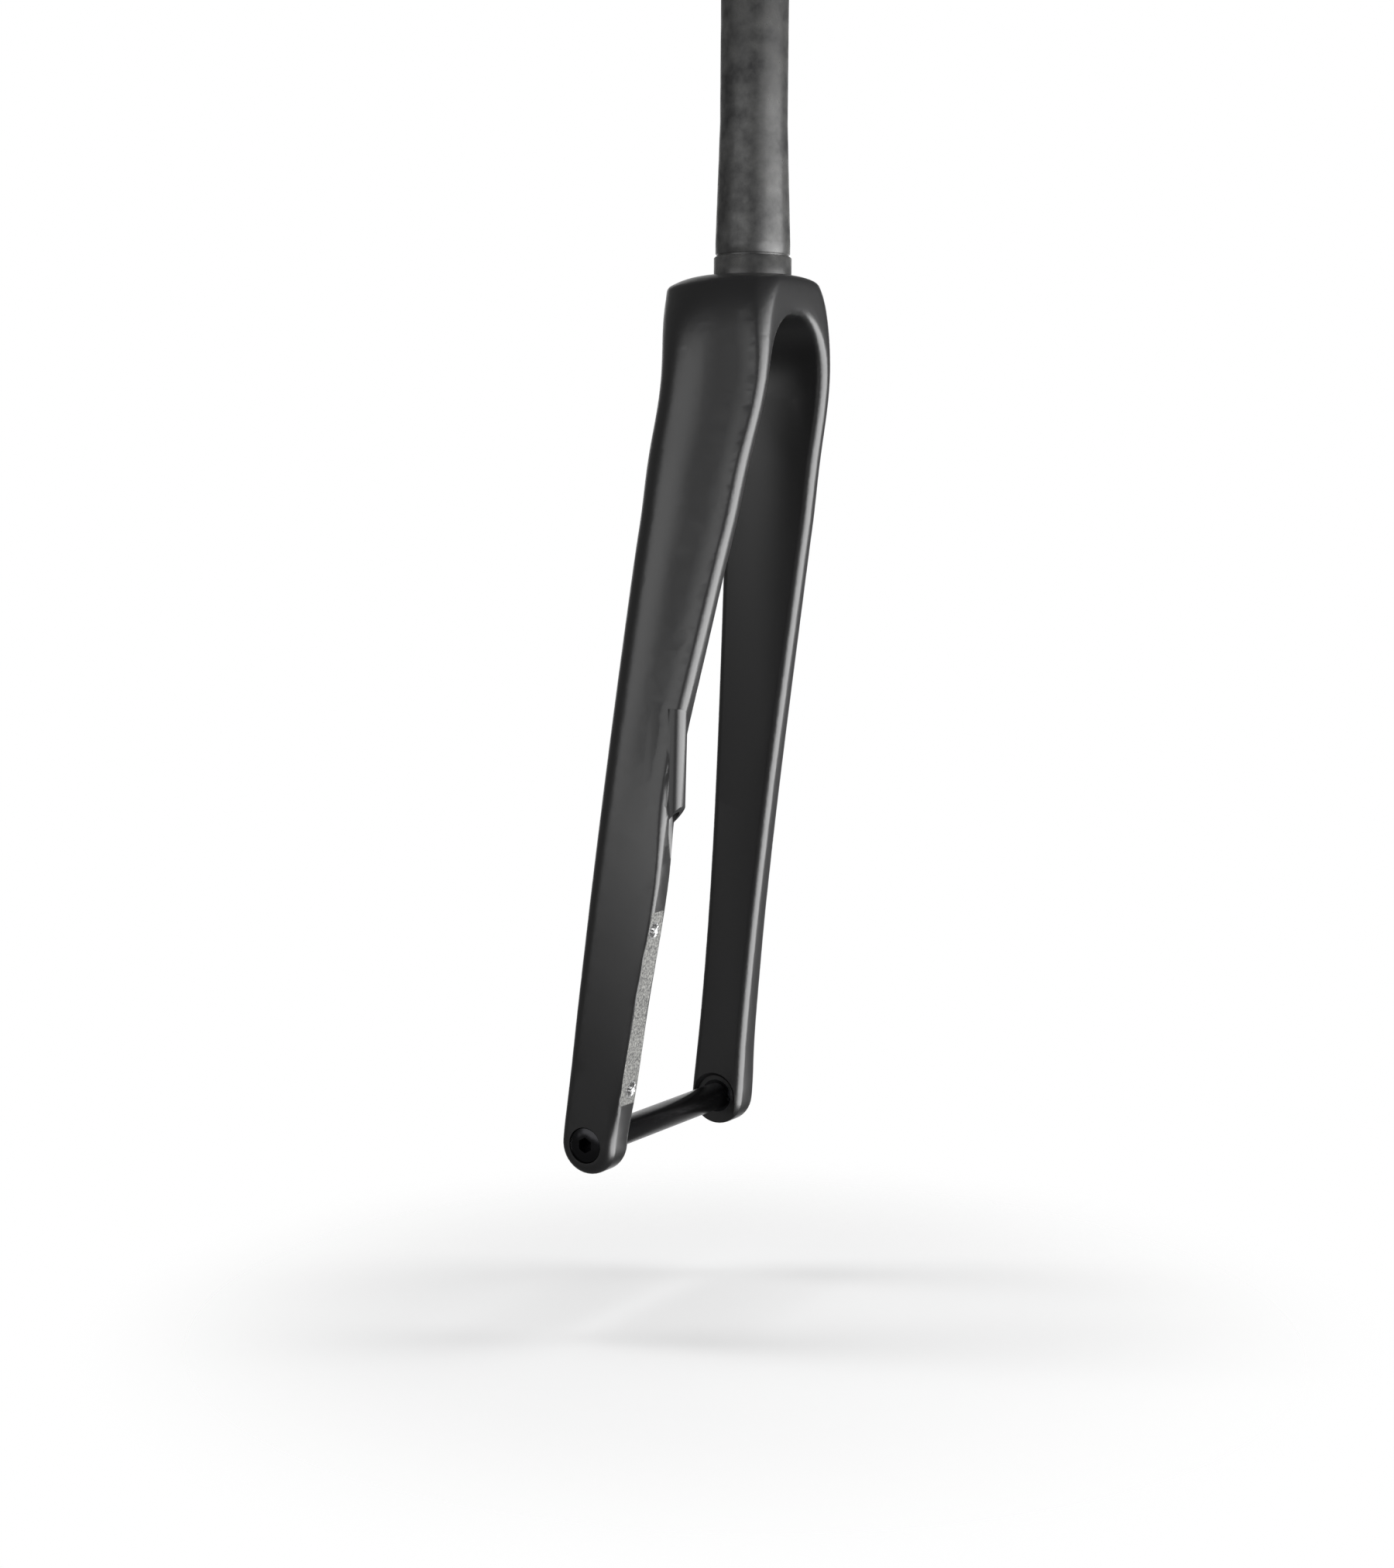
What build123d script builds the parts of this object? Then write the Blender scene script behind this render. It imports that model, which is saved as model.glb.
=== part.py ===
"""A rigid bicycle fork for a disc brake: moulded crown and legs, bonded steerer tube, through axle.

Millimetres. The origin is the centre of the crown race seat's base, on the steering axis.
+Z runs up the steerer, +X to the rider's left, which is the brake side, and +Y to the rear.
"""
import os
from math import cos, pi, radians, sin, tan

from build123d import *

# The sizes that make this fork fit a bicycle
AXLE_TO_CROWN = 368.3
RAKE = 43.0
HUB_WIDTH = 100.0
AXLE_D = 12.0
TYRE_GAP = 46.6
CALIPER_BOLT_GAP = 70.0

# Steerer tube, which tapers from 31.75 mm to 28.6 mm
SEAT_D = 33.0
SEAT_HEIGHT = 8.2
SEAT_CHAMFER = 0.6
STEERER_LOW_D = 31.75
STEERER_TOP_D = 28.6
STEERER_BORE_D = 22.6
STEERER_LENGTH = 300.0
TAPER_START = 13.7
TAPER_END = 63.7
SPIGOT_D = 30.0
SPIGOT_DEPTH = 13.0
TUBE_EDGE = 0.6

# Crown: its outline at the top and at two depths on the way to the shoulders, and its domed top
CROWN_SHAPES = (
    dict(drop=0.0, front=-32.0, rear=21.5, half=32.5, tail=28.0, tail_r=16.0, nose=19.0, nose_long=24.0),
    dict(drop=12.3, front=-29.6, rear=22.8, half=38.0, tail=31.6, tail_r=10.0, nose=20.0, nose_long=24.0),
    dict(drop=27.3, front=-27.0, rear=23.0, half=41.8, tail=32.4, tail_r=6.4, nose=17.0, nose_long=18.5),
)
CROWN_FLAT_D = 35.0
CROWN_DOME_RADIUS = 36.0
CROWN_TOP_EDGE = 3.5
SHOULDER_DROP = 43.3
ARCH_DROP = 17.3
ARCH_SIDE = (18.3, 26.3)

# Both legs: sizes at the shoulder, two that draw them on the way, and at the axle
LEG_THICK = (20.3, 19.5, 14.2, 16.0)
TAIL_THICK = (9.3, 10.1, 14.3, 16.0)
AHEAD_OF_LINE = (19.7, 18.2, 13.3, 12.8)
BEHIND_LINE = (27.5, 21.7, 5.1, 13.2)
NOSE_WIDTH = (13.0, 10.0, 6.0, 4.4)
NOSE_LENGTH = (14.0, 12.0, 8.0, 4.4)
TAIL_RADIUS = (4.6, 4.7, 4.9, 4.4)
SIDE_FLARE = (15.0, 12.0, 0.0, 0.0)
SPLAY_PULL = 10.2
SPLAY_END = 25.0
FOOT_LEAN = 5.5
FOOT_STRAIGHT = 4.0
LEG_STEPS = 13
RIM_RADIUS = 3.9

# Dropouts and the through axle
LIP_HEIGHT = 2.5
LIP_CHAMFER = 1.4
END_CAP_D = 19.5
HEAD_D = 15.5
HEAD_DEPTH = 3.0
HEAD_INSET = 0.3
HEAD_CHAMFER = 0.4
HEX_KEY = 6.0
HEX_DEPTH = 6.0
RUNNING_CLEARANCE = 0.05
AXLE_TIP = 1.5
AXLE_TIP_CHAMFER = 1.0
AXLE_INSERT_D = 15.0

# Brake side: the raised pad for a flat-mount caliper, with two threaded inserts
PAD_LEAN = 9.0
PAD_INSET = 9.0
PAD_SKIM = 0.35
PAD_ABOVE_BOLT = 8.0
PAD_BELOW_BOLT = 6.5
PAD_RAMP_TOP = 150.2
PAD_RAMP_FOOT = 75.2
PAD_FADE = 20.0
PAD_EDGE_RADIUS = 2.0
LOWER_BOLT_RISE = 24.8
LOWER_BOLT_BACK = 17.6
INSERT_D = 7.5
INSERT_DEPTH = 12.0
INSERT_THREAD_D = 4.2
INSERT_CHAMFER = 0.7

# Brake hose: it enters at the front of the shoulder and leaves through a boss above the pad
BOSS_RADIUS = 4.75
BOSS_TOP = (45.9, -9.2, -181.3)
BOSS_FOOT = (46.9, -9.9, -238.3)
BOSS_FACE = (46.9, -5.0, -221.8)
BOSS_FACE_LEAN = 42.0
HOSE_D = 6.0
HOSE_PATH = ((46.9, -8.4, -244.3), (46.2, -13.7, -196.3), (38.5, -9.0, -96.3), (31.5, -40.0, -50.3))
HOSE_BEND = 40.0

# Values that follow from those above
DROPOUT_GAP = HUB_WIDTH - 2 * LIP_HEIGHT
OUTER_FACE = DROPOUT_GAP / 2 + LEG_THICK[-1]
HEAD_SEAT = OUTER_FACE - HEAD_DEPTH
LOWER_BOLT_DROP = AXLE_TO_CROWN - LOWER_BOLT_RISE
LOWER_BOLT_Y = LOWER_BOLT_BACK - RAKE
KAPPA = 4 / 3 * tan(pi / 8)
SPLAY = (TYRE_GAP / 2, TYRE_GAP / 2 + SPLAY_PULL, DROPOUT_GAP / 2, DROPOUT_GAP / 2)
SPLAY_LENGTH = AXLE_TO_CROWN - SPLAY_END - SHOULDER_DROP


def along(values, share):
    """A smooth run from the first value to the last, drawn towards the two between them."""
    first, second, third, last = values
    rest = 1 - share
    return first * rest**3 + 3 * second * share * rest**2 + 3 * third * share**2 * rest + last * share**3


def drop_at(share):
    """How far below the seat a share of the way down the legs is."""
    return SHOULDER_DROP + share * (AXLE_TO_CROWN - SHOULDER_DROP)


def inner_wall(drop):
    """Half the gap between the legs: it widens from the tyre's gap, and is straight at the dropouts."""
    return along(SPLAY, min((drop - SHOULDER_DROP) / SPLAY_LENGTH, 1))


def pad_line(drop):
    """The rear of the caliper pad at a given depth, in Y."""
    return LOWER_BOLT_Y + (LOWER_BOLT_DROP - drop) * tan(radians(PAD_LEAN))


def pad_rise(drop):
    """1 along the caliper pad, and smoothly 0 above it and at the foot."""
    above_bolt = LOWER_BOLT_DROP - drop
    share = (PAD_RAMP_TOP - above_bolt) / (PAD_RAMP_TOP - PAD_RAMP_FOOT)
    share = min(max(share, 0), 1, (AXLE_TO_CROWN - drop) / PAD_FADE)
    return (1 - cos(pi * share)) / 2


def flank(side, front, rear, half, tail, tail_r, nose, nose_long, flare):
    """One side of a cross-section: its tail corner, swelling side and long nose."""
    lean = radians(flare)
    turn = 4 / 3 * tan((pi / 2 - lean) / 4) * tail_r

    def at(x, y):
        return Vector(side * x, y)

    rear_end = at(tail - tail_r, rear)
    tail_end = at(tail - tail_r + tail_r * cos(lean), rear - tail_r + tail_r * sin(lean))
    along_side = at(sin(lean), -cos(lean))
    widest = at(half, front + nose_long)
    reach = (tail_end.Y - widest.Y) / 3
    front_end = at(half - nose, front)
    Bezier(rear_end, rear_end + at(turn, 0), tail_end - along_side * turn, tail_end)
    Bezier(tail_end, tail_end + along_side * reach, widest + at(0, reach), widest)
    Bezier(widest, widest - at(0, KAPPA * nose_long), front_end + at(KAPPA * nose, 0), front_end)
    return rear_end, front_end


def section(plane, front, left, right):
    """A whole cross-section of the fork, out of which the tyre's space is cut later."""
    with BuildSketch(plane) as outline:
        with BuildLine():
            left_rear, left_front = flank(1, front, **left)
            right_rear, right_front = flank(-1, front, **right)
            Line(left_rear, right_rear)
            Line(left_front, right_front)
        make_face()
    return outline.sketch


def crown_section(shape):
    side = {name: value for name, value in shape.items() if name not in ("drop", "front")}
    side["flare"] = SIDE_FLARE[0]
    return section(Plane.XY.offset(-shape["drop"]), shape["front"], side, side)


def leg_plane(share):
    """The plane that cuts the legs at a share of their way down. It starts on the line to the axle."""
    lean = radians(FOOT_LEAN * share)
    drop = drop_at(share)
    origin = (0, -RAKE * drop / AXLE_TO_CROWN, -drop)
    return Plane(origin=origin, x_dir=(1, 0, 0), z_dir=(0, sin(lean), cos(lean)))


def leg_side(share, brake_side):
    """The sizes of one leg's cross-section, with the rise of the pad on the brake side."""
    drop = drop_at(share)
    inner = inner_wall(drop)
    rear = along(BEHIND_LINE, share)
    radius = along(TAIL_RADIUS, share)
    if brake_side:
        rise = pad_rise(drop)
        rear += rise * (pad_line(drop) + PAD_SKIM + RAKE * drop / AXLE_TO_CROWN - rear)
        radius += rise * (PAD_EDGE_RADIUS - radius)
    return dict(
        rear=rear,
        half=inner + along(LEG_THICK, share),
        tail=inner + along(TAIL_THICK, share),
        tail_r=radius,
        nose=along(NOSE_WIDTH, share),
        nose_long=along(NOSE_LENGTH, share),
        flare=along(SIDE_FLARE, share),
    )


def leg_section(share, plane=None):
    """The fork's cross-section at a share of the way down the legs, on its own plane or a given one."""
    plane = plane or leg_plane(share)
    return section(plane, -along(AHEAD_OF_LINE, share), leg_side(share, True), leg_side(share, False))


def foot_profile(side):
    """Half a dropout seen from behind, which turns into its half-round end."""
    behind = BEHIND_LINE[-1]
    middle = behind - (AHEAD_OF_LINE[-1] + behind) / 2
    corner = TAIL_RADIUS[-1]
    inside = side * TYRE_GAP / 2
    outer = side * OUTER_FACE
    with BuildSketch(leg_plane(1)) as profile:
        with BuildLine():
            top = (outer - side * corner, behind)
            low = (outer, behind - corner)
            Polyline(top, (inside, behind), (inside, middle), (outer, middle), low)
            bend = side * (1 - KAPPA) * corner
            Bezier(low, (outer, behind - (1 - KAPPA) * corner), (outer - bend, behind), top)
        make_face()
    return profile.sketch


def axle_plane(x, side=1):
    """A plane across the axle that faces the given side, with its own x axis pointing down."""
    return Plane(origin=(x, -RAKE, -AXLE_TO_CROWN), x_dir=(0, 0, -1), z_dir=(side, 0, 0))


def disc(plane, diameter):
    with BuildSketch(plane) as outline:
        Circle(diameter / 2)
    return outline.sketch


def hub_seat(side, grow=0.0):
    """The U-shaped seat of a hub end, open at the bottom so that the wheel drops out."""
    radius = END_CAP_D / 2 + grow
    with BuildSketch(axle_plane(side * DROPOUT_GAP / 2, side)) as outline:
        Circle(radius)
        Rectangle(2 * radius, 2 * radius, align=(Align.MIN, Align.CENTER))
    return outline.sketch


def pad_plane(up=0.0):
    """The caliper pad's own plane at a distance up from the lower bolt. Its y axis runs up the pad."""
    lean = radians(PAD_LEAN)
    origin = (OUTER_FACE - PAD_INSET, LOWER_BOLT_Y + up * sin(lean), -LOWER_BOLT_DROP + up * cos(lean))
    return Plane(origin=origin, x_dir=(-1, 0, 0), z_dir=(0, cos(lean), -sin(lean)))


# The boss that guides the hose out of the leg, with its face cut to point down and back
with BuildPart() as hose_boss:
    boss_line = Vector(*BOSS_FOOT) - Vector(*BOSS_TOP)
    with BuildSketch(Plane(origin=BOSS_TOP, z_dir=boss_line)):
        Circle(BOSS_RADIUS)
    extrude(amount=boss_line.length)
    face_lean = radians(BOSS_FACE_LEAN)
    split(bisect_by=Plane(origin=BOSS_FACE, z_dir=(0, cos(face_lean), -sin(face_lean))), keep=Keep.BOTTOM)

with BuildPart() as crown_and_legs:
    shares = [step / LEG_STEPS for step in range(LEG_STEPS)]
    sections = [crown_section(shape) for shape in CROWN_SHAPES] + [leg_section(share) for share in shares]
    loft(sections + [leg_section(1, leg_plane(1).offset(FOOT_STRAIGHT)), leg_section(1)])
    # The crown's top falls away all round from a flat ring under the bearing
    with BuildSketch(Plane.XZ):
        with BuildLine():
            flat = (CROWN_FLAT_D / 2, 0)
            fall_end = (CROWN_FLAT_D / 2 + CROWN_DOME_RADIUS, -CROWN_DOME_RADIUS)
            RadiusArc(flat, fall_end, CROWN_DOME_RADIUS)
            Polyline(fall_end, (fall_end[0], CROWN_TOP_EDGE), (flat[0], CROWN_TOP_EDGE), flat)
        make_face()
    revolve(axis=Axis.Z, mode=Mode.SUBTRACT)
    fillet(edges(Select.LAST).filter_by(GeomType.BSPLINE), CROWN_TOP_EDGE)
    # The round ends of the dropouts
    foot_middle = (BEHIND_LINE[-1] - AHEAD_OF_LINE[-1]) / 2
    foot_axis = Axis(leg_plane(1).from_local_coords((0, foot_middle, 0)), (-1, 0, 0))
    revolve(foot_profile(1), axis=foot_axis, revolution_arc=180)
    revolve(foot_profile(-1), axis=foot_axis, revolution_arc=180)
    # The space for the tyre and hub, which leaves the arch and the legs' inner walls
    with BuildSketch(Plane.XZ.offset(-AXLE_TO_CROWN)):
        with BuildLine():
            wall = [(half, -SHOULDER_DROP - step * SPLAY_LENGTH / 3) for step, half in enumerate(SPLAY)]
            slope = Vector(*wall[0]) - Vector(*wall[1])
            mirrored = [(-x, z) for x, z in wall]
            half_arch, depth = ARCH_SIDE
            arch = [wall[0], (half_arch, -depth), (0, -ARCH_DROP), (-half_arch, -depth), mirrored[0]]
            Spline(*arch, tangents=(slope, Vector(slope.X, -slope.Y)))
            Bezier(*wall)
            Bezier(*mirrored)
            floor = -AXLE_TO_CROWN - 2 * AHEAD_OF_LINE[-1]
            Polyline(wall[-1], (DROPOUT_GAP / 2, floor), (-DROPOUT_GAP / 2, floor), mirrored[-1])
        make_face()
    extrude(amount=2 * AXLE_TO_CROWN, mode=Mode.SUBTRACT)
    rim = edges(Select.LAST).filter_by(Axis.Y, reverse=True)
    fillet(rim.filter_by(lambda edge: edge.length > LEG_THICK[-1]), RIM_RADIUS)
    # The socket for the steerer tube
    extrude(disc(Plane.XY, SPIGOT_D), amount=-SPIGOT_DEPTH, mode=Mode.SUBTRACT)
    # Seats for the hub's ends
    for side in (1, -1):
        extrude(hub_seat(side), amount=LIP_HEIGHT, mode=Mode.SUBTRACT)
        extrude(hub_seat(side, LIP_CHAMFER), amount=LIP_CHAMFER, taper=45, mode=Mode.SUBTRACT)
    # The axle's hole and the seat of its head on the left, and the hole for its insert on the right
    axle_hole_d = AXLE_D + 2 * RUNNING_CLEARANCE
    head_hole_d = HEAD_D + 2 * RUNNING_CLEARANCE
    extrude(disc(axle_plane(HUB_WIDTH / 2), axle_hole_d), amount=2 * AXLE_D, mode=Mode.SUBTRACT)
    extrude(disc(axle_plane(HEAD_SEAT), head_hole_d), amount=2 * HEAD_DEPTH, mode=Mode.SUBTRACT)
    extrude(disc(axle_plane(-HUB_WIDTH / 2, -1), AXLE_INSERT_D), amount=2 * AXLE_D, mode=Mode.SUBTRACT)
    # The hose's boss and its way through the leg
    add(hose_boss.part)
    with BuildLine():
        hose_line = FilletPolyline(*HOSE_PATH, radius=HOSE_BEND)
    with BuildSketch(Plane(origin=hose_line @ 0, z_dir=hose_line % 0)):
        Circle(HOSE_D / 2)
    sweep(path=hose_line, mode=Mode.SUBTRACT)
    # The caliper pad's machined face and the holes for its inserts
    pad_length = PAD_BELOW_BOLT + CALIPER_BOLT_GAP + PAD_ABOVE_BOLT
    with BuildSketch(pad_plane(pad_length / 2 - PAD_BELOW_BOLT)):
        Rectangle(2 * LEG_THICK[-1], pad_length)
    extrude(amount=2 * HEAD_DEPTH, mode=Mode.SUBTRACT)
    for up in (0, CALIPER_BOLT_GAP):
        extrude(disc(pad_plane(up), INSERT_D), amount=-INSERT_DEPTH, mode=Mode.SUBTRACT)

# The steerer tube, with the crown race seat at its foot
with BuildPart() as steerer:
    with BuildSketch(Plane.XZ):
        with BuildLine():
            bore = STEERER_BORE_D / 2
            low = STEERER_LOW_D / 2
            seat = SEAT_D / 2
            Polyline(
                (bore, -SPIGOT_DEPTH),
                (SPIGOT_D / 2, -SPIGOT_DEPTH),
                (SPIGOT_D / 2, 0),
                (seat, 0),
                (seat, SEAT_HEIGHT - SEAT_CHAMFER),
                (seat - SEAT_CHAMFER, SEAT_HEIGHT),
                (low - TUBE_EDGE, SEAT_HEIGHT),
                (low - TUBE_EDGE, SEAT_HEIGHT + TUBE_EDGE),
                (low, SEAT_HEIGHT + 2 * TUBE_EDGE),
                (low, TAPER_START),
                (STEERER_TOP_D / 2, TAPER_END),
                (STEERER_TOP_D / 2, STEERER_LENGTH - TUBE_EDGE),
                (STEERER_TOP_D / 2 - TUBE_EDGE, STEERER_LENGTH),
                (bore, STEERER_LENGTH),
                close=True,
            )
        make_face()
    revolve(axis=Axis.Z)

# The through axle, with its head on the brake side
with BuildPart() as thru_axle:
    extrude(disc(axle_plane(AXLE_TIP - OUTER_FACE), AXLE_D), amount=HEAD_SEAT + OUTER_FACE - AXLE_TIP)
    chamfer(edges().sort_by(Axis.X)[0], AXLE_TIP_CHAMFER)
    extrude(disc(axle_plane(HEAD_SEAT), HEAD_D), amount=HEAD_DEPTH - HEAD_INSET)
    chamfer(edges().sort_by(Axis.X)[-1], HEAD_CHAMFER)
    with BuildSketch(axle_plane(OUTER_FACE - HEAD_INSET)):
        RegularPolygon(HEX_KEY / 2, 6, major_radius=False)
    extrude(amount=-HEX_DEPTH, mode=Mode.SUBTRACT)

# The threaded insert that the axle screws into
with BuildPart() as axle_thread_insert:
    extrude(disc(axle_plane(-HUB_WIDTH / 2, -1), AXLE_INSERT_D), amount=OUTER_FACE - HUB_WIDTH / 2)
    extrude(disc(axle_plane(-HUB_WIDTH / 2, -1), AXLE_D), amount=OUTER_FACE - HUB_WIDTH / 2, mode=Mode.SUBTRACT)


def caliper_insert(up):
    """One of the two threaded inserts, flush with the pad."""
    with BuildPart() as insert:
        extrude(disc(pad_plane(up), INSERT_D), amount=-INSERT_DEPTH)
        extrude(disc(pad_plane(up), INSERT_THREAD_D), amount=-INSERT_DEPTH, mode=Mode.SUBTRACT)
        mouth = edges().filter_by(GeomType.CIRCLE).group_by(SortBy.RADIUS)[0].sort_by(Axis.Y)[-1]
        chamfer(mouth, INSERT_CHAMFER)
    return insert


caliper_insert_lower = caliper_insert(0)
caliper_insert_upper = caliper_insert(CALIPER_BOLT_GAP)

crown_and_legs.part.label = "crown_and_legs"
steerer.part.label = "steerer"
thru_axle.part.label = "thru_axle"
axle_thread_insert.part.label = "axle_thread_insert"
caliper_insert_lower.part.label = "caliper_insert_lower"
caliper_insert_upper.part.label = "caliper_insert_upper"

os.makedirs("parts", exist_ok=True)
export_step(crown_and_legs.part, "parts/crown_and_legs.step")
export_step(steerer.part, "parts/steerer.step")
export_step(thru_axle.part, "parts/thru_axle.step")
export_step(axle_thread_insert.part, "parts/axle_thread_insert.step")
export_step(caliper_insert_lower.part, "parts/caliper_insert_lower.step")
export_step(caliper_insert_upper.part, "parts/caliper_insert_upper.step")
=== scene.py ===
"""Finishes, two mended forms, studio and camera for a rigid bicycle fork. Metres, in the part's own frame."""
from math import cos, radians, sin

import bpy
from mathutils import Matrix, Quaternion, Vector


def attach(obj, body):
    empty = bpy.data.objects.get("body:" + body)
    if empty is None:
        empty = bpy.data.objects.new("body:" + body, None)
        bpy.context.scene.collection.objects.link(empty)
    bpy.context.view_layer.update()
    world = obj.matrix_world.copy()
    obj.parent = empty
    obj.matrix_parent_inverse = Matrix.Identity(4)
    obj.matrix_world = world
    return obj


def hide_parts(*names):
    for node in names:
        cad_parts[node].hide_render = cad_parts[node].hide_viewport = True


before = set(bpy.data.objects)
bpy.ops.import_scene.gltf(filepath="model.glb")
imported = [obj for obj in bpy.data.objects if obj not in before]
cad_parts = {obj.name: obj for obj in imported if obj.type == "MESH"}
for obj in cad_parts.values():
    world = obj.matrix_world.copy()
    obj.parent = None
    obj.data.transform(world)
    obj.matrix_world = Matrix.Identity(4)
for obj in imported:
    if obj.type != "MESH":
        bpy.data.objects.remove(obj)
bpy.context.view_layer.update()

MM = 0.001
MERGE_GAP = 0.01 * MM
SHARP_ANGLE = radians(45)
EASED = {"interpolation_type": "SMOOTHSTEP"}

# The right shoulder is taken from the left one above this height, and joined over a short seam
SHOULDER_CUT = -50 * MM
SEAM = 0.3 * MM
SEAM_MERGE_GAP = 0.005 * MM
CLEAR_OF_MIDDLE = -1 * MM

# The crease between the hose's boss and the left leg, and the fillet that fills it
CREASE_TOP = Vector((44, -12, -158)) * MM
CREASE_WAY = Vector((47.5, -12.5, -218)) * MM - CREASE_TOP
CREASE_REACH = 12 * MM
CREASE_ROUNDS = (1.0, 0.85, 0.7)
CREASE_PASSES = 120
CREASE_STEP = 0.5
BOSS_BOX = (Vector((20, -60, -240)) * MM, Vector((80, 40, -140)) * MM)
SKIN_GRAIN = 0.9 * MM
SKIN_SINK = 0.05 * MM
HOSE_OUTLET = Vector((46.9, -5.0, -226)) * MM
OUTLET_REACH = 8 * MM

# The caliper pad's bare face, set out from its lower bolt
PAD_LEAN = radians(9.0)
LOWER_BOLT = Vector((54.5, -25.4, -343.5)) * MM
PAD_BELOW_BOLT = 6.5 * MM
PAD_ABOVE_BOLT = 78.0 * MM
PAD_UP = Vector((0, sin(PAD_LEAN), cos(PAD_LEAN)))
PAD_OUT = Vector((0, cos(PAD_LEAN), -sin(PAD_LEAN)))
PAINT_BELOW_FACE = 0.03 * MM
BARE_BELOW_FACE = 0.01 * MM
PAINT_EDGE = 0.05 * MM
PAD_INNER_SIDE = 45 * MM
PAD_INNER_EDGE = 1 * MM

FIBRE_SPECKLE = 0.9 * MM
CARBON_CLOUD = 9 * MM

# The floor lies a hand's breadth below the dropouts, and fades out round the fork's shadow
FLOOR_HEIGHT = -0.455
FLOOR_SIZE = 12.0
FLOOR_FADE_FROM = 0.13
FLOOR_FADE_TO = 0.30

# The room's strength on the fork and in its gloss, and the cosines between which its white backdrop begins
ROOM_LIGHT = 0.35
ROOM_GLOSS = 0.1
BACKDROP_RIM = 0.8
BACKDROP_FULL = 0.99

LAMP_TARGET = Vector((0, 0, -0.18))
LAMP_DISTANCE = 1.4

# Camera, fitted to the photograph
CAMERA_AZIMUTH = radians(119.97)
CAMERA_ELEVATION = radians(5.90)
CAMERA_ROLL = radians(0.39)
CAMERA_DISTANCE = 1.131
CAMERA_LENS = 67.48
CAMERA_SENSOR = 36.0
CAMERA_TARGET = Vector((11.04, -19.15, -216.5)) * MM


def linear(hex_colour):
    """An sRGB hex colour as the linear colour that a shader takes."""
    parts = [int(hex_colour[i:i + 2], 16) / 255 for i in (1, 3, 5)]
    return tuple(c / 12.92 if c <= 0.04045 else ((c + 0.055) / 1.055) ** 2.4 for c in parts) + (1.0,)


def add_node(tree, kind, settings=None, inputs=None):
    """Adds a node. An input's value is a plain value, or the output socket that feeds it."""
    node = tree.nodes.new(kind)
    for name, value in (settings or {}).items():
        setattr(node, name, value)
    for name, value in (inputs or {}).items():
        if isinstance(value, bpy.types.NodeSocket):
            tree.links.new(value, node.inputs[name])
        else:
            node.inputs[name].default_value = value
    return node


def new_material(name):
    """An empty material and its node tree."""
    material = bpy.data.materials.new(name)
    material.use_nodes = True
    material.node_tree.nodes.clear()
    return material, material.node_tree


def bare_face_mask(tree, place):
    """1 on the caliper pad's face and 0 elsewhere."""
    from_bolt = add_node(tree, "ShaderNodeVectorMath", {"operation": "SUBTRACT"}, {0: place, 1: LOWER_BOLT})
    way = from_bolt.outputs["Vector"]
    height = add_node(tree, "ShaderNodeVectorMath", {"operation": "DOT_PRODUCT"}, {0: way, 1: PAD_OUT})
    up = add_node(tree, "ShaderNodeVectorMath", {"operation": "DOT_PRODUCT"}, {0: way, 1: PAD_UP})
    across = add_node(tree, "ShaderNodeSeparateXYZ", None, {"Vector": place})
    bare = add_node(tree, "ShaderNodeMapRange", EASED, {
        "Value": height.outputs["Value"], "From Min": -PAINT_BELOW_FACE, "From Max": -BARE_BELOW_FACE,
        "To Min": 0.0, "To Max": 1.0,
    }).outputs["Result"]
    below_top = add_node(tree, "ShaderNodeMapRange", EASED, {
        "Value": up.outputs["Value"], "From Min": PAD_ABOVE_BOLT, "From Max": PAD_ABOVE_BOLT + PAINT_EDGE,
        "To Min": 1.0, "To Max": 0.0,
    })
    above_foot = add_node(tree, "ShaderNodeMapRange", EASED, {
        "Value": up.outputs["Value"], "From Min": -PAD_BELOW_BOLT - PAINT_EDGE, "From Max": -PAD_BELOW_BOLT,
        "To Min": 0.0, "To Max": 1.0,
    })
    on_left_leg = add_node(tree, "ShaderNodeMapRange", EASED, {
        "Value": across.outputs["X"], "From Min": PAD_INNER_SIDE, "From Max": PAD_INNER_SIDE + PAD_INNER_EDGE,
        "To Min": 0.0, "To Max": 1.0,
    })
    for part in (below_top, above_foot, on_left_leg):
        bare = add_node(tree, "ShaderNodeMath", {"operation": "MULTIPLY"}, {
            0: bare, 1: part.outputs["Result"],
        }).outputs[0]
    return bare


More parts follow.
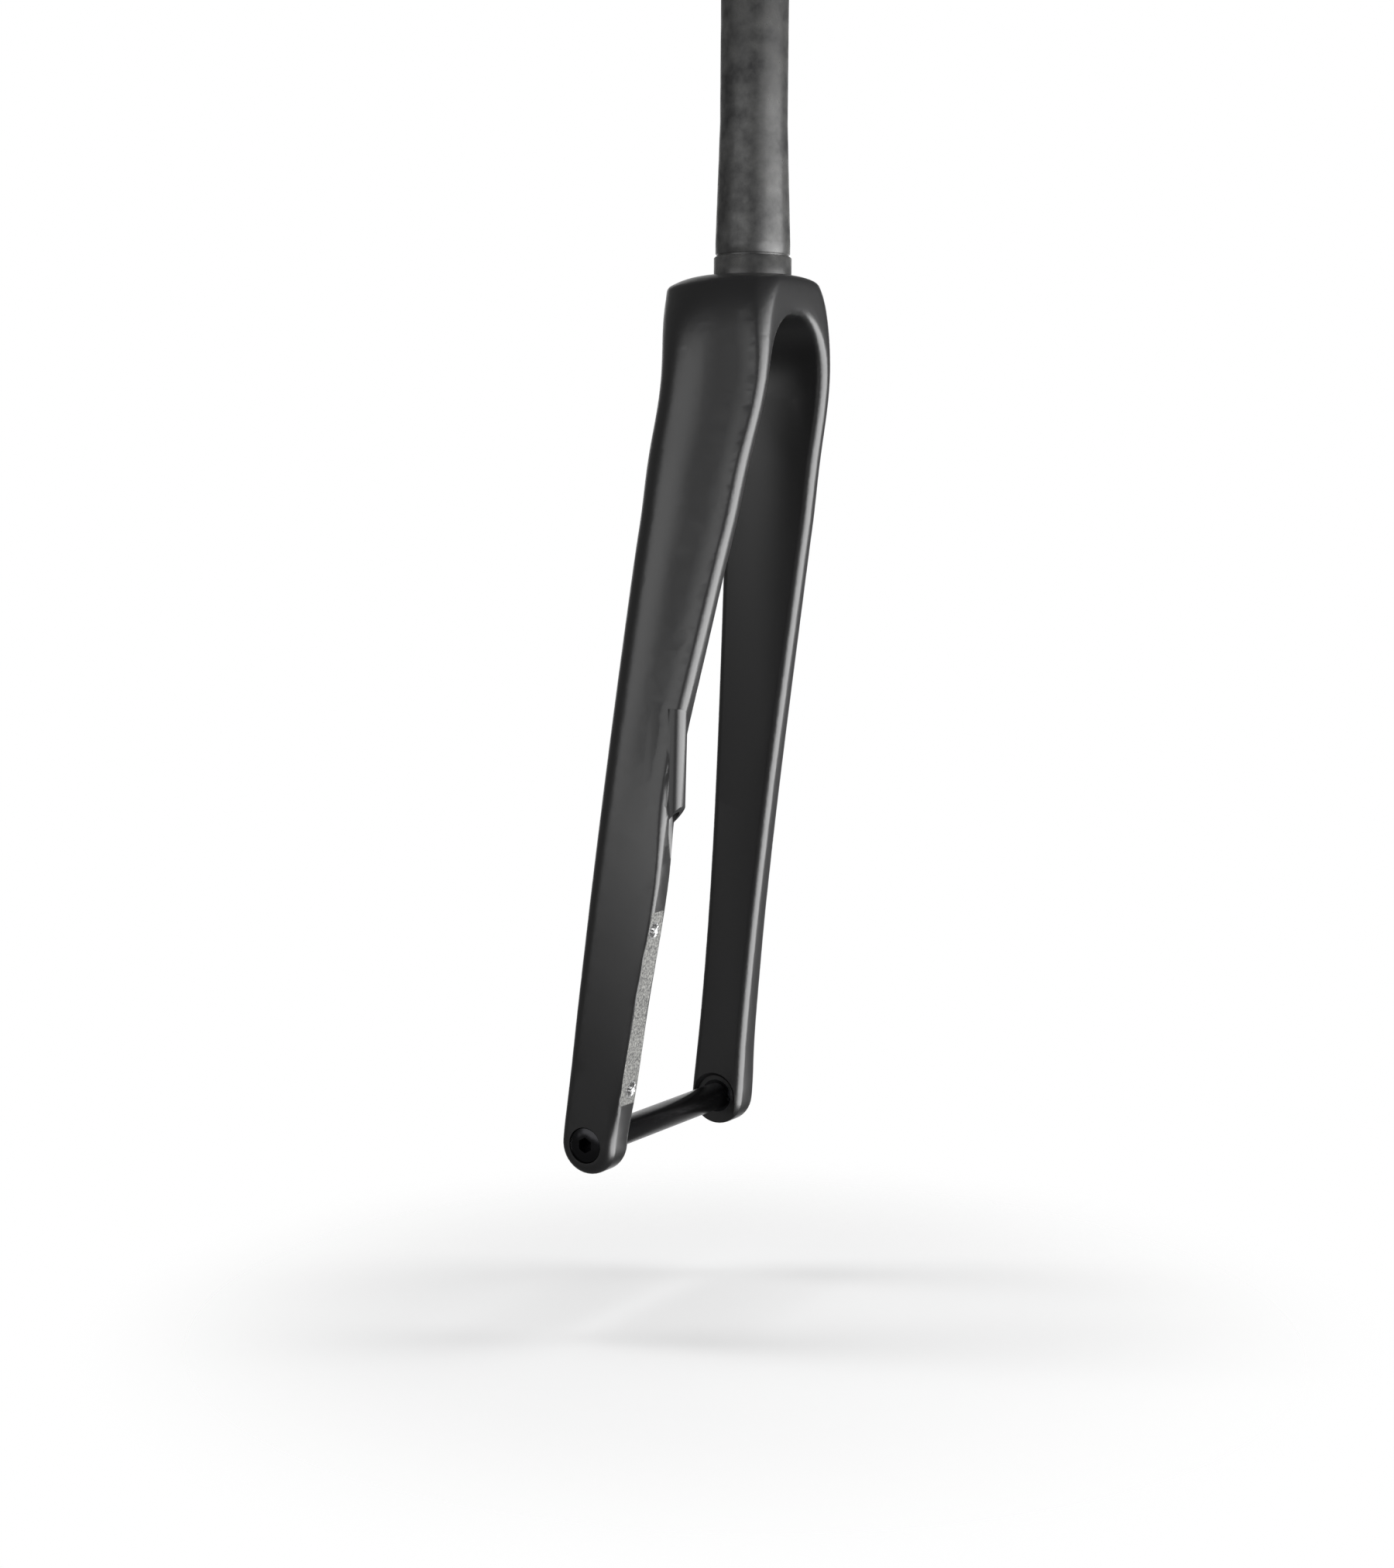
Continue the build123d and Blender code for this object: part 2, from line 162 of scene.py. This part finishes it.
def painted_moulding():
    """Satin black polyurethane paint on moulded carbon fibre: an even, softly glossy skin.

    The caliper pad's face is milled through the paint, and shows the bare grey laminate.
    """
    material, tree = new_material("satin_black_paint")
    place = add_node(tree, "ShaderNodeTexCoord").outputs["Object"]
    bare = bare_face_mask(tree, place)
    # Cut fibre ends give the bare laminate a fine speckle
    speckle = add_node(tree, "ShaderNodeTexNoise", None, {
        "Vector": place, "Scale": 1 / FIBRE_SPECKLE, "Detail": 3.0,
    })
    grey = add_node(tree, "ShaderNodeValToRGB", None, {"Fac": speckle.outputs["Fac"]})
    for stop, position, colour in zip(grey.color_ramp.elements, (0.36, 0.64), ("#444444", "#7e7e7b")):
        stop.position = position
        stop.color = linear(colour)
    skin = add_node(tree, "ShaderNodeMixRGB", None, {
        "Fac": bare, "Color1": linear("#121213"), "Color2": grey.outputs["Color"],
    })
    rough = add_node(tree, "ShaderNodeMapRange", EASED, {
        "Value": bare, "From Min": 0.0, "From Max": 1.0, "To Min": 0.34, "To Max": 0.75,
    })
    clear_coat = add_node(tree, "ShaderNodeMapRange", EASED, {
        "Value": bare, "From Min": 0.0, "From Max": 1.0, "To Min": 1.0, "To Max": 0.0,
    })
    shader = add_node(tree, "ShaderNodeBsdfPrincipled", None, {
        "Base Color": skin.outputs["Color"],
        "Roughness": rough.outputs["Result"],
        "IOR": 1.5,
        "Coat Weight": clear_coat.outputs["Result"],
        "Coat Roughness": 0.34,
    })
    add_node(tree, "ShaderNodeOutputMaterial", None, {"Surface": shader.outputs["BSDF"]})
    return material


def bare_carbon_tube():
    """Bare carbon-fibre tube, sanded for bonding: grey-black, with cloudy tone and sheen."""
    material, tree = new_material("sanded_carbon_tube")
    place = add_node(tree, "ShaderNodeTexCoord").outputs["Object"]
    clouds = add_node(tree, "ShaderNodeTexNoise", None, {
        "Vector": place, "Scale": 1 / CARBON_CLOUD, "Detail": 5.0, "Roughness": 0.6,
    }).outputs["Fac"]
    tone = add_node(tree, "ShaderNodeValToRGB", None, {"Fac": clouds})
    for stop, position, colour in zip(tone.color_ramp.elements, (0.3, 0.72), ("#1f1f20", "#4f4f4e")):
        stop.position = position
        stop.color = linear(colour)
    rough = add_node(tree, "ShaderNodeMapRange", EASED, {
        "Value": clouds, "From Min": 0.3, "From Max": 0.7, "To Min": 0.42, "To Max": 0.26,
    })
    shader = add_node(tree, "ShaderNodeBsdfPrincipled", None, {
        "Base Color": tone.outputs["Color"], "Roughness": rough.outputs["Result"], "IOR": 1.6,
    })
    add_node(tree, "ShaderNodeOutputMaterial", None, {"Surface": shader.outputs["BSDF"]})
    return material


def black_anodised_aluminium():
    """Turned aluminium with a black anodised skin: a dark metal with a soft sheen along its length."""
    material, tree = new_material("black_anodised_aluminium")
    shader = add_node(tree, "ShaderNodeBsdfPrincipled", None, {
        "Base Color": linear("#3a3a3c"), "Metallic": 1.0, "Roughness": 0.26,
    })
    add_node(tree, "ShaderNodeOutputMaterial", None, {"Surface": shader.outputs["BSDF"]})
    return material


def machined_aluminium():
    """Bare machined aluminium: a bright glint around each bolt hole."""
    material, tree = new_material("machined_aluminium")
    shader = add_node(tree, "ShaderNodeBsdfPrincipled", None, {
        "Base Color": linear("#dcdcdc"), "Metallic": 1.0, "Roughness": 0.28,
    })
    add_node(tree, "ShaderNodeOutputMaterial", None, {"Surface": shader.outputs["BSDF"]})
    return material


def pale_floor():
    """Matt white paper, which keeps the fork's shadow and fades into the white room around it.

    Gloss passes through it, as the real fork mirrors nothing pale from below.
    """
    material, tree = new_material("pale_floor")
    place = add_node(tree, "ShaderNodeTexCoord").outputs["Object"]
    distance = add_node(tree, "ShaderNodeVectorMath", {"operation": "LENGTH"}, {0: place})
    matt = add_node(tree, "ShaderNodeBsdfDiffuse", None, {"Color": linear("#f6f6f6")})
    clear = add_node(tree, "ShaderNodeBsdfTransparent")
    mirrored = add_node(tree, "ShaderNodeLightPath").outputs["Is Glossy Ray"]
    far = add_node(tree, "ShaderNodeMapRange", EASED, {
        "Value": distance.outputs["Value"], "From Min": FLOOR_FADE_FROM, "From Max": FLOOR_FADE_TO,
        "To Min": 0.0, "To Max": 1.0,
    })
    gone = add_node(tree, "ShaderNodeMath", {"operation": "MAXIMUM"}, {0: far.outputs["Result"], 1: mirrored})
    blend = add_node(tree, "ShaderNodeMixShader", None, {
        "Fac": gone.outputs[0], 1: matt.outputs[0], 2: clear.outputs[0],
    })
    add_node(tree, "ShaderNodeOutputMaterial", None, {"Surface": blend.outputs[0]})
    return material


def select_only(piece):
    bpy.ops.object.select_all(action="DESELECT")
    piece.select_set(True)
    bpy.context.view_layer.objects.active = piece


def own_copy(piece):
    """A copy with a mesh of its own."""
    copy = piece.copy()
    copy.data = piece.data.copy()
    bpy.context.collection.objects.link(copy)
    return copy


def merged_copy(node, name):
    """A copy of a CAD node with its loose triangles joined."""
    piece = own_copy(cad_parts[node])
    piece.name = name
    piece.data.name = name
    piece.parent = None
    select_only(piece)
    bpy.ops.mesh.customdata_custom_splitnormals_clear()
    bpy.ops.object.mode_set(mode="EDIT")
    bpy.ops.mesh.select_all(action="SELECT")
    bpy.ops.mesh.remove_doubles(threshold=MERGE_GAP)
    bpy.ops.object.mode_set(mode="OBJECT")
    return piece


def stand_for(piece, node, material):
    """Shades a piece smoothly, gives it its finish and lets it stand for a CAD node."""
    select_only(piece)
    bpy.ops.object.shade_smooth_by_angle(angle=SHARP_ANGLE)
    piece.data.materials.clear()
    piece.data.materials.append(material)
    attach(piece, "root")
    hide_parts(node)


def bisect_all(plane_co, plane_no, **cleared):
    """Cuts the whole mesh that is in edit mode, and clears a side where that is asked."""
    bpy.ops.mesh.select_all(action="SELECT")
    bpy.ops.mesh.bisect(plane_co=plane_co, plane_no=plane_no, **cleared)


def mirrored_left_shoulder(moulding):
    """The left half of the crown and arch, turned over to the right side."""
    shoulder = own_copy(moulding)
    select_only(shoulder)
    bpy.ops.object.mode_set(mode="EDIT")
    bisect_all((0, 0, 0), (1, 0, 0), clear_inner=True)
    bisect_all((0, 0, SHOULDER_CUT), (0, 0, 1), clear_inner=True)
    bpy.ops.mesh.select_all(action="SELECT")
    bpy.ops.transform.resize(value=(-1, 1, 1), center_override=(0, 0, 0))
    bpy.ops.mesh.flip_normals()
    bpy.ops.object.mode_set(mode="OBJECT")
    return shoulder


def clear_right_shoulder(moulding):
    """Takes away the right half of the crown and arch, a seam's width further than the new half reaches."""
    select_only(moulding)
    bpy.ops.object.mode_set(mode="EDIT")
    bisect_all((0, 0, 0), (1, 0, 0))
    bisect_all((0, 0, SHOULDER_CUT - SEAM), (0, 0, 1))
    bpy.ops.mesh.select_all(action="DESELECT")
    bpy.ops.object.mode_set(mode="OBJECT")
    for face in moulding.data.polygons:
        face.select = face.center.x < 0 and face.center.z > SHOULDER_CUT - SEAM
    bpy.ops.object.mode_set(mode="EDIT")
    bpy.ops.mesh.delete(type="FACE")
    bpy.ops.object.mode_set(mode="OBJECT")


def bridge_seam(moulding):
    """Closes the open strip between the new shoulder and the right leg, and no other open edge."""
    bpy.ops.object.mode_set(mode="EDIT")
    bpy.ops.mesh.select_mode(type="EDGE")
    bpy.ops.mesh.select_all(action="SELECT")
    bpy.ops.mesh.remove_doubles(threshold=SEAM_MERGE_GAP)
    bpy.ops.mesh.select_all(action="DESELECT")
    bpy.ops.mesh.select_non_manifold(
        use_wire=False, use_multi_face=False, use_non_contiguous=False, use_verts=False)
    bpy.ops.object.mode_set(mode="OBJECT")
    places = [vertex.co for vertex in moulding.data.vertices]
    for edge in moulding.data.edges:
        ends = [places[index] for index in edge.vertices]
        at_seam = all(end.x < CLEAR_OF_MIDDLE and abs(end.z - SHOULDER_CUT) < 2 * SEAM for end in ends)
        edge.select = edge.select and at_seam
    bpy.ops.object.mode_set(mode="EDIT")
    bpy.ops.mesh.bridge_edge_loops()
    bpy.ops.object.mode_set(mode="OBJECT")


def even_arch(moulding):
    """Gives the right shoulder the round half of the arch that the left one has, down to where both agree."""
    shoulder = mirrored_left_shoulder(moulding)
    clear_right_shoulder(moulding)
    shoulder.select_set(True)
    bpy.ops.object.join()
    bridge_seam(moulding)


def cut_to_box(piece, low, high):
    """Keeps what lies between two corners, and closes the cut ends."""
    select_only(piece)
    bpy.ops.object.mode_set(mode="EDIT")
    for across in ((1, 0, 0), (0, 1, 0), (0, 0, 1)):
        bisect_all(low, across, use_fill=True, clear_inner=True)
        bisect_all(high, across, use_fill=True, clear_outer=True)
    bpy.ops.object.mode_set(mode="OBJECT")


def near_crease(place, reach):
    """Whether a place is within reach of the crease beside the boss, and clear of the hose's hole."""
    share = min(max((place - CREASE_TOP).dot(CREASE_WAY) / CREASE_WAY.length_squared, 0), 1)
    beside = (place - CREASE_TOP - CREASE_WAY * share).length < reach
    return beside and (place - HOSE_OUTLET).length > OUTLET_REACH


def blend_boss(moulding):
    """Fills the crease between the hose's boss and the leg with the soft fillet that the mould gives it."""
    fillet = own_copy(moulding)
    cut_to_box(fillet, *BOSS_BOX)
    remesh = fillet.modifiers.new("even_skin", "REMESH")
    remesh.mode = "VOXEL"
    remesh.voxel_size = SKIN_GRAIN
    bpy.ops.object.modifier_apply(modifier=remesh.name)
    for share in CREASE_ROUNDS:
        for vertex in fillet.data.vertices:
            vertex.select = near_crease(vertex.co, share * CREASE_REACH)
        bpy.ops.object.mode_set(mode="EDIT")
        bpy.ops.mesh.vertices_smooth(factor=CREASE_STEP, repeat=CREASE_PASSES)
        bpy.ops.mesh.select_all(action="DESELECT")
        bpy.ops.object.mode_set(mode="OBJECT")
    bpy.ops.object.mode_set(mode="EDIT")
    bpy.ops.mesh.select_all(action="SELECT")
    bpy.ops.transform.shrink_fatten(value=-SKIN_SINK)
    bpy.ops.object.mode_set(mode="OBJECT")
    select_only(moulding)
    union = moulding.modifiers.new("fillet", "BOOLEAN")
    union.operation = "UNION"
    union.solver = "EXACT"
    union.object = fillet
    bpy.ops.object.modifier_apply(modifier=union.name)
    bpy.data.objects.remove(fillet)


def outward(azimuth, elevation):
    """The direction at an angle round from +X towards +Y, and at a height above level."""
    turn, rise = radians(azimuth), radians(elevation)
    return Vector((cos(turn) * cos(rise), sin(turn) * cos(rise), sin(rise)))


def white_room(backdrop_way):
    """Full white where the camera looks and where the fork mirrors the backdrop, and dim elsewhere."""
    world = bpy.data.worlds.new("white_room")
    bpy.context.scene.world = world
    world.use_nodes = True
    tree = world.node_tree
    tree.nodes.clear()
    rays = add_node(tree, "ShaderNodeLightPath").outputs
    way = add_node(tree, "ShaderNodeTexCoord").outputs["Generated"]
    facing = add_node(tree, "ShaderNodeVectorMath", {"operation": "DOT_PRODUCT"}, {0: way, 1: backdrop_way})
    in_gloss = add_node(tree, "ShaderNodeMapRange", EASED, {
        "Value": facing.outputs["Value"], "From Min": BACKDROP_RIM, "From Max": BACKDROP_FULL,
        "To Min": ROOM_GLOSS, "To Max": 1.0,
    })
    bounced = add_node(tree, "ShaderNodeMath", {"operation": "ADD"}, {
        0: rays["Is Glossy Ray"], 1: rays["Is Transmission Ray"],
    })
    on_fork = add_node(tree, "ShaderNodeMix", {"data_type": "FLOAT"}, {
        "Factor": bounced.outputs[0], "A": ROOM_LIGHT, "B": in_gloss.outputs["Result"],
    })
    level = add_node(tree, "ShaderNodeMix", {"data_type": "FLOAT"}, {
        "Factor": rays["Is Camera Ray"], "A": on_fork.outputs["Result"], "B": 1.0,
    })
    light = add_node(tree, "ShaderNodeBackground", None, {
        "Color": (1, 1, 1, 1), "Strength": level.outputs["Result"],
    })
    add_node(tree, "ShaderNodeOutputWorld", None, {"Surface": light.outputs[0]})


def soft_light(name, way, width, height, power):
    """A rectangular soft light that faces the middle of the fork."""
    bpy.ops.object.light_add(type="AREA", location=LAMP_TARGET + way * LAMP_DISTANCE)
    lamp = bpy.context.object
    lamp.name = name
    lamp.data.shape = "RECTANGLE"
    lamp.data.size = width
    lamp.data.size_y = height
    lamp.data.energy = power
    lamp.rotation_mode = "QUATERNION"
    lamp.rotation_quaternion = way.to_track_quat("Z", "Y")
    return lamp


def fitted_camera():
    """The camera at the photograph's own angle, distance and roll."""
    level = cos(CAMERA_ELEVATION)
    back = Vector((sin(CAMERA_AZIMUTH) * level, -cos(CAMERA_AZIMUTH) * level, sin(CAMERA_ELEVATION)))
    right = Vector((0, 0, 1)).cross(back).normalized()
    up = back.cross(right)
    rolled_right = right * cos(CAMERA_ROLL) + up * sin(CAMERA_ROLL)
    rolled_up = up * cos(CAMERA_ROLL) - right * sin(CAMERA_ROLL)
    bpy.ops.object.camera_add(location=CAMERA_TARGET + back * CAMERA_DISTANCE)
    camera = bpy.context.object
    camera.rotation_mode = "QUATERNION"
    camera.rotation_quaternion = Matrix((rolled_right, rolled_up, back)).transposed().to_quaternion()
    camera.data.sensor_fit = "HORIZONTAL"
    camera.data.sensor_width = CAMERA_SENSOR
    camera.data.lens = CAMERA_LENS
    bpy.context.scene.camera = camera


paint = painted_moulding()
tube = bare_carbon_tube()
anodised = black_anodised_aluminium()
machined = machined_aluminium()

moulding = merged_copy("crown_and_legs", "painted_crown_and_legs")
even_arch(moulding)
blend_boss(moulding)
stand_for(moulding, "crown_and_legs", paint)
for node, name, material, slot in (
    ("steerer", "sanded_steerer", tube, "bare_tube"),
    ("thru_axle", "anodised_axle", anodised, "black_metal"),
    ("axle_thread_insert", "dropout_sleeve", anodised, "black_metal"),
    ("caliper_insert_upper", "upper_thread_insert", machined, "bare_metal"),
    ("caliper_insert_lower", "lower_thread_insert", machined, "bare_metal"),
):
    stand_for(merged_copy(node, name), node, material)

bpy.ops.object.select_all(action="DESELECT")
bpy.ops.mesh.primitive_plane_add(size=FLOOR_SIZE, location=(0, 0, FLOOR_HEIGHT))
floor = bpy.context.object
floor.name = "floor"
floor.data.materials.append(pale_floor())

# The backdrop is behind the fork as the camera sees it. The rear softbox draws the bright line down
# the rear of each leg, and is strong because black paint mirrors less than a tenth of it
white_room(backdrop_way=-outward(30, 6))
soft_light("side_softbox", outward(-13, 8), width=1.5, height=0.7, power=4.4)
soft_light("edge_softbox", outward(56, -6), width=0.5, height=1.1, power=4.3)
soft_light("rear_softbox", outward(100, -13), width=1.9, height=1.65, power=51.0)
# The overhead strip lies across the camera's view and only lightens matt surfaces
overhead = soft_light("overhead_softbox", outward(0, 90), width=2.4, height=0.3, power=15.0)
overhead.rotation_quaternion = Quaternion((0, 0, 1), radians(120))
overhead.visible_glossy = False

fitted_camera()
bpy.context.scene.view_settings.view_transform = "Standard"
